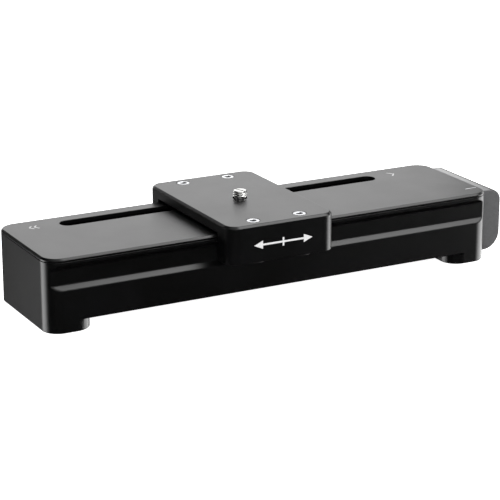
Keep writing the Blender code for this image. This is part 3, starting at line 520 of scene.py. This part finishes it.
def makeTopPlate():
    centre, size = boxOf("top_plate")
    high = centre.z + size.z / 2
    halfX, halfY, corner = size.x / 2, size.y / 2, housing["corner"]
    bodyHigh = boxOf("housing")[0].z + boxOf("housing")[1].z / 2
    neckLow = bodyHigh - housing["topDrop"] + plate["neckGap"]
    inset, edge, soft, neckTop = plate["neckInset"], plate["edge"], plate["soft"], plate["neckTop"]
    levels = [(inset, neckLow), (inset, neckTop), (soft, neckTop), (0.0, neckTop + soft),
              (0.0, high - edge - soft), (0.06, high - edge), (edge - soft, high - 0.1), (edge + 0.1, high)]
    bm = bmesh.new()
    loft(bm, [blockRing(halfX - i, halfY - i, corner - i, z, 20) for i, z in levels])
    sheet = toObject(bm, "slotted_top_plate")

    bm = bmesh.new()
    long, wide = plate["slot"]
    flare = plate["slotEdge"]
    levels = [(0, neckLow - clear), (0, high - flare), (0.1 * flare, high - 0.6 * flare),
              (0.4 * flare, high - 0.2 * flare), (flare, high), (flare, high + clear)]
    loft(bm, [blockRing(long / 2 + i, wide / 2 + i, wide / 2 + i - 0.01, z, 16, plate["slotCentre"])
              for i, z in levels])
    lightCentre, lightSize = boxOf("status_light")
    margin = plate["lightGap"]
    loft(bm, [blockRing(lightSize.x / 2 + margin, lightSize.y / 2 + margin, 0.3, z, 3,
                        (lightCentre.x - centre.x, lightCentre.y)) for z in (neckLow - clear, high + clear)])
    carve(sheet, "DIFFERENCE", bm)

    # hollow posts that the cover screws run up into
    bm = bmesh.new()
    postLow, postHigh = centre.z - size.z / 2, neckLow - plate["postGap"]
    insetX, insetY = housing["postInset"]
    for x in (-halfX + insetX, halfX - insetX):
        for y in (-halfY + insetY, halfY - insetY):
            profile = [(plate["post"], postLow), (plate["post"], postHigh), (plate["bore"], postHigh),
                       (plate["bore"], postLow)]
            lathe(bm, profile, (x, y), 32, joined=True)
    posts = toObject(bm, "top_plate_posts")
    sheet.location = posts.location = (centre.x * mm, 0, 0)
    finishPiece(sheet, finishes["black_anodised"], "housing", ["top_plate"], 28)
    finishPiece(posts, finishes["black_anodised"], "housing", ())
    print("top plate ready")


# carriage

carriage = {"corner": 9.0, "edge": 1.6, "wall": 2.3, "plateLow": 53.4, "channelHalf": 46.0, "rim": 0.35,
            "inkDepth": 0.05, "tongue": (44.0, 9.3, 4.0), "tongueLow": 48.6, "tongueEdge": 0.3, "root": 0.6,
            "boss": 6.0, "bossLow": 44.45, "boltBore": 4.3, "boltSeat": 4.8, "boltSeatDepth": 3.0,
            "studBore": 5.11, "studSeat": 7.8, "studSeatTop": 56.5, "lip": 0.15, "clampHole": 1.3,
            "clampHoleTop": 53.2, "clampX": 6.0, "clampInset": 2.05}
axleNames = [side + "_" + end for side in ("front", "rear") for end in ("left", "right")]


def boltSpot(name):
    return boxOf("axle_bolt_" + name)[0]


def squareRing(halfX, halfY, z, centre=(0, 0)):
    return [Vector((centre[0] + signX * halfX, centre[1] + signY * halfY, z))
            for signX, signY in ((1, 1), (-1, 1), (-1, -1), (1, -1))]


def makeCarriage():
    centre, size = boxOf("carriage")
    middle = (centre.x, centre.y)
    low, high = centre.z - size.z / 2, centre.z + size.z / 2
    halfX, halfY = size.x / 2, size.y / 2 - carriage["inkDepth"]
    corner, edge, wall, rim = carriage["corner"], carriage["edge"], carriage["wall"], carriage["rim"]
    levels = [(wall, carriage["plateLow"]), (wall, low + rim)]
    levels += [(wall - inset, low + down) for inset, down in reversed(roundOver(rim)[:-1])]
    levels += [(inset, low + down) for inset, down in roundOver(rim)]
    levels += [(0, high - edge - 0.25), (0.06, high - edge + 0.02), (0.2, high - edge + 0.2),
               (edge - 0.24, high - 0.2), (edge, high - 0.04), (edge + 0.3, high)]
    bm = bmesh.new()
    loft(bm, [blockRing(halfX - i, halfY - i, corner - i, z, 20, middle) for i, z in levels])
    frameShell = toObject(bm, "carriage_body")

    # the channel between the skirts, open at both ends
    bm = bmesh.new()
    loft(bm, [squareRing(halfX + clear, carriage["channelHalf"], z, middle)
              for z in (low - clear, carriage["plateLow"])])
    carve(frameShell, "DIFFERENCE", bm)

    # the tongue that reaches through the slot, and a boss for each axle bolt, rooted in the plate
    bm = bmesh.new()
    long, wide, bend = carriage["tongue"]
    tongueY, tongueLow, tongueEdge = plate["slotCentre"][1], carriage["tongueLow"], carriage["tongueEdge"]
    inside = carriage["plateLow"] + carriage["root"]
    loft(bm, [blockRing(long / 2 - i, wide / 2 - i, bend - i, z, 8, (centre.x, tongueY))
              for i, z in ((tongueEdge, tongueLow), (0, tongueLow + tongueEdge), (0, inside))])
    for name in axleNames:
        spot = boltSpot(name)
        lathe(bm, [(carriage["boss"], carriage["bossLow"]), (carriage["boss"], inside)], spot, 40)
    carve(frameShell, "UNION", bm)

    # stepped bores for the bolts and the stud, and the two clamp screws' holes
    bm = bmesh.new()
    lip, seat = carriage["lip"], carriage["boltSeat"]
    seatLow = high - carriage["boltSeatDepth"]
    for name in axleNames:
        profile = [(carriage["boltBore"], carriage["bossLow"] - clear), (carriage["boltBore"], seatLow),
                   (seat, seatLow), (seat, high - lip), (seat + lip, high), (seat + lip, high + clear)]
        lathe(bm, profile, boltSpot(name), 48)
    bore = carriage["studBore"]
    seat, seatTop = carriage["studSeat"], carriage["studSeatTop"]
    profile = [(seat, carriage["plateLow"] - clear), (seat, seatTop), (bore, seatTop), (bore, high - lip),
               (bore + lip, high), (bore + lip, high + clear)]
    lathe(bm, profile, middle, 48)
    for side in (-1, 1):
        spot = (centre.x + side * carriage["clampX"], tongueY - wide / 2 + carriage["clampInset"])
        hole = carriage["clampHole"]
        lathe(bm, [(hole, tongueLow - clear), (hole, carriage["clampHoleTop"])], spot, 16)
    carve(frameShell, "DIFFERENCE", bm)
    finishPiece(frameShell, finishes["black_anodised"], "carriage", ["carriage"], 28)
    print("carriage ready")


# axle bolts, rollers and the stud

bolt = {"head": 4.5, "headHeight": 2.7, "edge": 0.35, "neck": 4.0, "neckLow": 44.45, "pin": 2.5,
        "pinEdge": 0.3, "hex": 2.5, "hexDepth": 2.0, "hexTip": 0.7, "hexEdge": 0.2, "eccentric": 1.36}
roller = {"crown": 5.68, "bearing": 5.2, "bore": 2.8, "ringWall": 0.6, "shield": 0.35, "setBack": 0.3,
          "edge": 0.1}
stud = {"crest": 4.76, "root": 4.15, "pitch": 1.5875, "flange": 7.5, "flangeHeight": 2.5,
        "flangeEdge": 0.3, "taperLow": 2.4, "taperHigh": 1.8, "relief": 0.8, "tip": 0.4, "slices": 8,
        "slotWidth": 1.3, "slotDepth": 1.6, "slotTurn": -68}


def makeBolts():
    for name in axleNames:
        centre, size = boxOf("axle_bolt_" + name)
        high = centre.z + size.z / 2
        low = centre.z - size.z / 2
        head, edge, neck = bolt["head"], bolt["edge"], bolt["neck"]
        under = high - bolt["headHeight"]
        bm = bmesh.new()
        lathe(bm, [(neck, bolt["neckLow"]), (neck, under), (head, under), (head, high - edge),
                   (head - 0.3 * edge, high - 0.3 * edge), (head - edge, high)], centre, 56)
        item = toObject(bm, "axle_bolt_" + name + "_fine")
        bm = bmesh.new()
        inward = bolt["eccentric"] * (1 if centre.y < 0 else -1)
        pin, pinEdge = bolt["pin"], bolt["pinEdge"]
        lathe(bm, [(pin - pinEdge, low), (pin, low + pinEdge), (pin, bolt["neckLow"] + clear)],
              (centre.x, centre.y + inward), 32)
        carve(item, "UNION", bm)
        # the hexagon socket, with the cone that a drill leaves at its bottom
        bm = bmesh.new()
        depth = high - bolt["hexDepth"]
        hexRadius, hexEdge = bolt["hex"], bolt["hexEdge"]
        hexagon = [(0.3, depth - bolt["hexTip"]), (hexRadius, depth), (hexRadius, high - 0.15),
                   (hexRadius + hexEdge, high), (hexRadius + hexEdge, high + clear)]
        loft(bm, [roundRing(radius, z, 6, centre) for radius, z in hexagon])
        carve(item, "DIFFERENCE", bm)
        finishPiece(item, finishes["steel"], "carriage", ["axle_bolt_" + name], 25)
        # the socket's faces take the second finish, a painted shade for the shadow inside the hole
        item.data.materials.append(socketShade)
        for face in item.data.polygons:
            away = Vector((face.center.x / mm - centre.x, face.center.y / mm - centre.y)).length
            if away < hexRadius and depth - clear < face.center.z / mm < high - hexEdge:
                face.material_index = 1
    print("axle bolts ready")


def makeRollers():
    for name in axleNames:
        centre, size = boxOf("roller_" + name)
        radius, half, crown = size.x / 2, size.z / 2, roller["crown"]
        edge, outer, bore, wall = roller["edge"], roller["bearing"], roller["bore"], roller["ringWall"]
        shoulder = radius - (half - crown)
        profile = [(outer + edge, -half), (shoulder - edge, -half), (shoulder, -half + 0.06),
                   (radius, -crown + edge)]
        profile = profile + [(r, -z) for r, z in reversed(profile)]
        bm = bmesh.new()
        lathe(bm, [(r, centre.z + z) for r, z in profile], centre, 64, joined=True)
        tyre = toObject(bm, "roller_tyre_" + name)
        finishPiece(tyre, finishes["roller_plastic"], "roller_" + name, ["roller_" + name])
        # ball bearing: inner ring, shields set back, outer ring
        face = half - roller["setBack"]
        shield = -face + roller["shield"]
        profile = [(bore, -face), (bore + wall, -face), (bore + wall, shield), (outer - wall, shield),
                   (outer - wall, -face), (outer - edge, -face), (outer, -face + edge)]
        profile = profile + [(r, -z) for r, z in reversed(profile)]
        bm = bmesh.new()
        lathe(bm, [(r, centre.z + z) for r, z in profile], centre, 48, joined=True)
        bearing = toObject(bm, "roller_bearing_" + name)
        finishPiece(bearing, finishes["steel"], "roller_" + name, ())
    print("rollers ready")


def threadRing(root, crest, pitch, z, centre, steps=64):
    # one slice through a thread: its radius follows the helix
    ring = []
    for point in roundRing(1.0, z, steps, centre):
        index = len(ring)
        phase = (z / pitch - index / steps) % 1
        rise = min(1, max(0, (1 - abs(2 * phase - 1) - 0.1) / 0.75))
        radius = root + (crest - root) * rise
        ring.append(Vector((centre[0] + (point.x - centre[0]) * radius,
                            centre[1] + (point.y - centre[1]) * radius, z)))
    return ring


def makeStud():
    centre, size = boxOf("camera_stud")
    low, high = centre.z - size.z / 2, centre.z + size.z / 2
    crest, root, pitch = stud["crest"], stud["root"], stud["pitch"]
    flangeTop = low + stud["flangeHeight"]
    face = boxOf("carriage")[0].z + boxOf("carriage")[1].z / 2
    threadLow = face + stud["relief"]
    flange, edge = stud["flange"], stud["flangeEdge"]
    rings = [roundRing(r, z, 64, centre) for r, z in
             ((flange - edge, low), (flange, low + edge), (flange, flangeTop - edge),
              (flange - edge, flangeTop), (crest, flangeTop), (crest, face - stud["taperLow"]),
              (root, face - stud["taperHigh"]), (root, threadLow))]
    step = pitch / stud["slices"]
    count = int((high - 0.05 - threadLow) / step)
    for i in range(1, count + 1):
        z = threadLow + i * step
        ring = threadRing(root, crest, pitch, z, centre)
        limit = min(crest - max(0, z - high + stud["tip"]), root + z - threadLow)
        for point in ring:
            away = Vector((point.x - centre.x, point.y - centre.y))
            if away.length > limit:
                away = away.normalized() * limit
                point.x, point.y = centre.x + away.x, centre.y + away.y
        rings.append(ring)
    # the flat end, with its rim rounded
    for drop, back in ((0.03, 0.1), (0, 0.3)):
        ring = threadRing(root, crest, pitch, high - drop, centre)
        for point in ring:
            away = Vector((point.x - centre.x, point.y - centre.y))
            away = away.normalized() * (min(away.length, crest - stud["tip"]) - back)
            point.x, point.y = centre.x + away.x, centre.y + away.y
        rings.append(ring)
    bm = bmesh.new()
    loft(bm, rings)
    item = toObject(bm, "camera_stud_fine")
    bm = bmesh.new()
    loft(bm, [squareRing(crest + clear, stud["slotWidth"] / 2, z) for z in (-stud["slotDepth"], clear)])
    turn = Matrix.Translation((centre.x, centre.y, high)) @ Matrix.Rotation(radians(stud["slotTurn"]), 4, "Z")
    carve(item, "DIFFERENCE", bm, turn)
    finishPiece(item, finishes["bright_steel"], "carriage", ["camera_stud"], 30)
    print("stud ready")


# end block with its controls

# top and bottom are the radii of its two long round edges
endBlock = {"top": 8.5, "bottom": 13.0, "edge": 0.7, "wall": 2.4, "holeEdge": 0.3, "gap": 0.3}
button = {"radius": 5.0, "flange": 6.2, "flangeHigh": 1.4, "stem": 1.5, "stemLong": 3.0, "face": -0.2,
          "dish": 0.22, "symbol": 1.9, "symbolWidth": 0.45, "openAngle": 30}
port = {"wall": 0.4, "depth": 6.5, "tongue": (6.4, 0.8), "mouth": 1.0, "jackBore": 1.4, "jackDepth": 9.0}


def alongX(x, y, z):
    # what is drawn upright is laid over to point along +X
    return Matrix.Translation((x, y, z)) @ Matrix.Rotation(pi / 2, 4, "Y")


def sideOutline(left, right, low, high, inset, y):
    bottom, top = endBlock["bottom"], endBlock["top"]
    points = [(left, low + inset)]
    for middleX, middleZ, radius, start in ((right - bottom, low + bottom, bottom - inset, -90),
                                            (right - top, high - top, top - inset, 0)):
        for i in range(17):
            angle = radians(start + 90 * i / 16)
            points.append((middleX + radius * cos(angle), middleZ + radius * sin(angle)))
    points.append((left, high - inset))
    return [Vector((x, y, z)) for x, z in points]


def makeEndBlock():
    centre, size = boxOf("end_block")
    left, right = centre.x - size.x / 2, centre.x + size.x / 2
    low, high = centre.z - size.z / 2, centre.z + size.z / 2
    halfY, wall, edge = size.y / 2, endBlock["wall"], endBlock["edge"]
    levels = [(inset, halfY - down) for inset, down in roundOver(edge)]
    levels += [(inset, -y) for inset, y in reversed(levels)]
    bm = bmesh.new()
    loft(bm, [sideOutline(left, right, low, high, inset, y) for inset, y in levels])
    shell = toObject(bm, "end_block_shell")
    bm = bmesh.new()
    loft(bm, [sideOutline(left - clear, right, low, high, wall, y) for y in (halfY - wall, wall - halfY)])
    carve(shell, "DIFFERENCE", bm)

    buttonSpot = boxOf("power_button")[0]
    portSpot, portSize = boxOf("charge_port")
    jackSpot, jackSize = boxOf("trigger_port")
    edge, gap = endBlock["holeEdge"], endBlock["gap"]
    levels = ((0, -2 * wall), (0, -edge), (edge, 0), (edge, clear))
    for spot, radius, steps in ((buttonSpot, button["radius"], 56), (jackSpot, jackSize.y / 2, 40)):
        bm = bmesh.new()
        lathe(bm, [(radius + gap + i, z) for i, z in levels], (0, 0), steps)
        carve(shell, "DIFFERENCE", bm, alongX(right, spot.y, spot.z))
    tall, wide = portSize.z / 2 + gap, portSize.y / 2 + gap
    bm = bmesh.new()
    loft(bm, [blockRing(tall + i, wide + i, tall + i - 0.02, z, 10) for i, z in levels])
    carve(shell, "DIFFERENCE", bm, alongX(right, portSpot.y, portSpot.z))
    finishPiece(shell, finishes["grey_plastic"], "housing", ["end_block"], 28)

    # the power button, slightly dished, with a ring and bar printed on it
    face, radius, flange, stem = button["face"], button["radius"], button["flange"], button["stem"]
    flangeTop = -wall - gap
    flangeLow = flangeTop - button["flangeHigh"]
    stemLow = flangeLow - button["stemLong"]
    bm = bmesh.new()
    lathe(bm, [(stem, stemLow), (stem, flangeLow), (flange, flangeLow), (flange, flangeTop),
               (radius, flangeTop), (radius, face - 0.35), (radius - 0.12, face - 0.1), (radius - 0.4, face),
               (radius - 0.9, face - 0.03), (radius * 0.5, face - 0.75 * button["dish"]),
               (0.5, face - button["dish"])], (0, 0), 56)
    cap = toObject(bm, "power_button_fine", alongX(right, buttonSpot.y, buttonSpot.z))
    finishPiece(cap, finishes["black_plastic"], "button", ["power_button"])
    bm = bmesh.new()
    symbolLow, symbolHigh = face - button["dish"] - 0.05, face - 0.12
    outer, inner = button["symbol"], button["symbol"] - button["symbolWidth"]
    rings = []
    start = button["openAngle"]
    for i in range(31):
        angle = radians(start + (360 - 2 * start) * i / 30)
        way = Vector((-cos(angle), sin(angle), 0))
        rings.append([way * inner + Vector((0, 0, symbolLow)), way * outer + Vector((0, 0, symbolLow)),
                      way * outer + Vector((0, 0, symbolHigh)), way * inner + Vector((0, 0, symbolHigh))])
    loft(bm, rings)
    loft(bm, [blockRing(0.75, button["symbolWidth"] / 2, 0.2, z, 4, (-outer + 0.35, 0))
              for z in (symbolLow, symbolHigh)])
    symbol = toObject(bm, "power_symbol", alongX(right, buttonSpot.y, buttonSpot.z))
    finishPiece(symbol, printInk, "button", ())

    # charging port: a pressed steel sleeve round a thin tongue
    length = portSize.x
    tall, wide = portSize.z / 2, portSize.y / 2
    inset, depth = port["wall"], port["depth"]
    bm = bmesh.new()
    loft(bm, [blockRing(tall - i, wide - i, tall - i - 0.02, z, 10) for i, z in
              ((0, 0), (0, length - 0.15), (0.15, length), (inset - 0.12, length), (inset, length - 0.12),
               (inset, length - depth))])
    tongueWide, tongueTall = port["tongue"]
    loft(bm, [blockRing(tongueTall / 2, tongueWide / 2, 0.3, z, 4)
              for z in (length - depth - 0.1, length - port["mouth"])])
    sleeve = toObject(bm, "charge_port_fine", alongX(left, portSpot.y, portSpot.z))
    finishPiece(sleeve, finishes["steel"], "housing", ["charge_port"])

    # trigger socket: a turned ring round a plain bore
    outer, bore, length = jackSize.y / 2, port["jackBore"], jackSize.x
    bm = bmesh.new()
    lathe(bm, [(outer, 0), (outer, length - 0.2), (outer - 0.2, length), (bore + 0.3, length),
               (bore, length - 0.3), (bore, length - port["jackDepth"])], (0, 0), 48)
    jack = toObject(bm, "trigger_port_fine", alongX(left, jackSpot.y, jackSpot.z))
    finishPiece(jack, finishes["steel"], "housing", ["trigger_port"])
    print("end block ready")


# underneath: pads and tripod threads

pad = {"corner": 5.7, "edge": 0.25, "ribPitch": 3.2, "ribSpace": 1.2, "ribDepth": 0.35}
bush = {"edge": 0.25, "lead": 0.3, "slices": 6,
        "threads": {"large_thread_bush": (4.1, 4.76, 1.5875), "small_thread_bush_front": (2.6, 3.17, 1.27),
                    "small_thread_bush_rear": (2.6, 3.17, 1.27)}}  # smallest and largest radius, and pitch


def makePads():
    for side in ("left", "right"):
        centre, size = boxOf("foot_pad_" + side)
        low, high = centre.z - size.z / 2, centre.z + size.z / 2
        bm = bmesh.new()
        loft(bm, [blockRing(size.x / 2 - i, size.y / 2 - i, pad["corner"] - i, z, 8, centre) for i, z in
                  ((pad["edge"], low), (0, low + pad["edge"]), (0, high))])
        item = toObject(bm, "foot_pad_" + side + "_ribbed")
        bm = bmesh.new()
        last = floor((size.y / 2 - pad["corner"] / 2) / pad["ribPitch"])
        for i in range(-last, last + 1):
            spot = (centre.x, centre.y + i * pad["ribPitch"])
            loft(bm, [squareRing(size.x / 2 + clear, pad["ribSpace"] / 2, z, spot)
                      for z in (low - clear, low + pad["ribDepth"])])
        carve(item, "DIFFERENCE", bm)
        finishPiece(item, finishes["rubber"], "housing", ["foot_pad_" + side])
    print("pads ready")


def makeBushes():
    edge, lead = bush["edge"], bush["lead"]
    for name, (crest, root, pitch) in bush["threads"].items():
        centre, size = boxOf(name)
        low, high = centre.z - size.z / 2, centre.z + size.z / 2
        outer = size.x / 2
        rings = [roundRing(r, z, 64, centre) for r, z in
                 ((root + lead, low), (outer - edge, low), (outer, low + edge), (outer, high - edge),
                  (outer - edge, high), (root + 0.1, high))]
        step = pitch / bush["slices"]
        count = int((high - low - 2 * lead) / step)
        rings += [threadRing(root, crest, pitch, high - lead - i * step, centre) for i in range(count + 1)]
        bm = bmesh.new()
        loft(bm, rings, joined=True)
        item = toObject(bm, name + "_threaded")
        finishPiece(item, finishes["steel"], "housing", [name], 40)
    print("tripod threads ready")


# belt and pulleys

belt = {"pitch": 2.0, "thickness": 0.75, "tooth": 0.32}
pulley = {"teeth": 28, "toothDepth": 0.4, "rim": 2.0, "hub": 5.0, "bore": 2.8, "side": 0.3, "slope": 0.3,
          "plate": 0.8, "edge": 0.2}


def toothedRing(radius, depth, z, centre, teeth):
    # four points to a tooth, with slanting sides
    ring = []
    for i in range(teeth):
        for share, low in ((0.0, True), (0.3, True), (0.5, False), (0.8, False)):
            angle = 2 * pi * (i + share) / teeth
            reach = radius - (depth if low else 0)
            ring.append(Vector((centre[0] + reach * cos(angle), centre[1] + reach * sin(angle), z)))
    return ring


def makePulleys():
    for name, body in (("drive_pulley", "drive"), ("idler_pulley", "idler")):
        centre, size = boxOf(name)
        low, high = centre.z - size.z / 2, centre.z + size.z / 2
        beltCentre, beltSize = boxOf("drive_belt")
        reach = beltSize.z / 2 + pulley["side"]
        drumLow, drumHigh = beltCentre.z - reach, beltCentre.z + reach
        hub, bore, slope, edge = pulley["hub"], pulley["bore"], pulley["slope"], pulley["edge"]
        flange = size.x / 2
        drum, foot, plateLow = flange - pulley["rim"], flange - pulley["rim"] + 0.6, drumLow - pulley["plate"]
        rings = [toothedRing(r, depth, z, centre, pulley["teeth"]) for r, depth, z in
                 ((bore, 0, low), (hub, 0, low), (hub, 0, plateLow), (flange - edge, 0, plateLow),
                  (flange, 0, plateLow + edge), (flange, 0, drumLow - slope), (foot, 0, drumLow),
                  (drum, pulley["toothDepth"], drumLow), (drum, pulley["toothDepth"], drumHigh),
                  (foot, 0, drumHigh), (flange, 0, drumHigh + slope), (flange, 0, high - edge),
                  (flange - edge, 0, high), (bore, 0, high))]
        bm = bmesh.new()
        loft(bm, rings, joined=True)
        item = toObject(bm, name + "_toothed")
        finishPiece(item, finishes["aluminium"], body, [name])
    print("pulleys ready")


def makeBelt():
    centre, size = boxOf("drive_belt")
    low, high = centre.z - size.z / 2, centre.z + size.z / 2
    outer = size.y / 2
    inner = outer - belt["thickness"]
    straight = size.x - size.y
    length = 2 * straight + 2 * pi * outer
    teeth = round(length / belt["pitch"])
    rings = []
    for i in range(teeth):
        for share, isTooth in ((0.0, True), (0.35, True), (0.5, False), (0.85, False)):
            # along the front run, round the right end, back along the rear run and round the left end
            way = length * (i + share) / teeth
            if way < straight:
                spot, out = Vector((-straight / 2 + way, 0, 0)), Vector((0, -1, 0))
            elif way < straight + pi * outer:
                turn = (way - straight) / outer
                spot, out = Vector((straight / 2, 0, 0)), Vector((sin(turn), -cos(turn), 0))
            elif way < 2 * straight + pi * outer:
                spot, out = Vector((straight / 2 - (way - straight - pi * outer), 0, 0)), Vector((0, 1, 0))
            else:
                turn = (way - 2 * straight - pi * outer) / outer
                spot, out = Vector((-straight / 2, 0, 0)), Vector((-sin(turn), cos(turn), 0))
            spot += Vector((centre.x, centre.y, 0))
            near = inner if isTooth else inner + belt["tooth"]
            rings.append([spot + out * r + Vector((0, 0, z))
                          for r, z in ((near, low), (outer, low), (outer, high), (near, high))])
    bm = bmesh.new()
    loft(bm, rings, joined=True)
    item = toObject(bm, "drive_belt_toothed")
    finishPiece(item, finishes["rubber"], "housing", ["drive_belt"], 40)
    print("belt ready")


# generic printed marks in place of lettering

marks = {"ink": 0.05, "leftChevron": (2.2, 6.6, 1.3), "leftSpots": (-154.9, -151.3), "leftY": 28.6,
         "rightChevron": (3.4, 8.8, 1.4), "rightSpot": 137.2, "rightY": 29.0,
         "arrow": 45.0, "head": (6.8, 5.8), "shaft": 1.3, "tick": 6.0, "arrowZ": 45.9}


def printMark(name, outline, turn, body):
    bm = bmesh.new()
    loft(bm, [[Vector((x, y, z)) for x, y in outline] for z in (-marks["ink"], marks["ink"] / 2)])
    item = toObject(bm, name, turn)
    finishPiece(item, printInk, body, ())


def chevronOutline(wide, tall, stroke):
    return [(0, 0), (wide, tall / 2), (wide + stroke, tall / 2), (stroke, 0), (wide + stroke, -tall / 2),
            (wide, -tall / 2)]


def makeMarks():
    centre, size = boxOf("top_plate")
    high = centre.z + size.z / 2
    for index, x in enumerate(marks["leftSpots"], 1):
        printMark("left_end_chevron_%d" % index, chevronOutline(*marks["leftChevron"]),
                  Matrix.Translation((centre.x + x, marks["leftY"], high)), "housing")
    turned = Matrix.Rotation(pi, 4, "Z")
    printMark("right_end_chevron", chevronOutline(*marks["rightChevron"]),
              Matrix.Translation((centre.x + marks["rightSpot"], marks["rightY"], high)) @ turned, "housing")

    centre, size = boxOf("carriage")
    headLong, headTall = marks["head"]
    half, shaft, tick = marks["arrow"] / 2, marks["shaft"] / 2, marks["tick"] / 2
    neck = half - headLong
    quarter = [(half, 0), (neck, headTall / 2), (neck, shaft), (shaft, shaft), (shaft, tick)]
    top = quarter + [(-x, y) for x, y in reversed(quarter)]
    outline = top + [(x, -y) for x, y in reversed(top[1:-1])]
    front = centre.y - size.y / 2 + marks["ink"]
    turn = Matrix.Translation((centre.x, front, marks["arrowZ"])) @ Matrix.Rotation(pi / 2, 4, "X")
    printMark("travel_arrow", outline, turn, "carriage")
    print("marks ready")


makeHousing()
makeTopPlate()
makeCarriage()
makeBolts()
makeRollers()
makeStud()
makeEndBlock()
makePads()
makeBushes()
makePulleys()
makeBelt()
makeMarks()

# the hidden pieces keep their own shapes and take the same finishes
slotOf = {part["node"]: part["material_slot"] for part in frame["record"]["subparts"]}
for name, node in frame["nodes"].items():
    for index in range(len(node.material_slots)):
        node.material_slots[index].material = finishes[slotOf[name]]
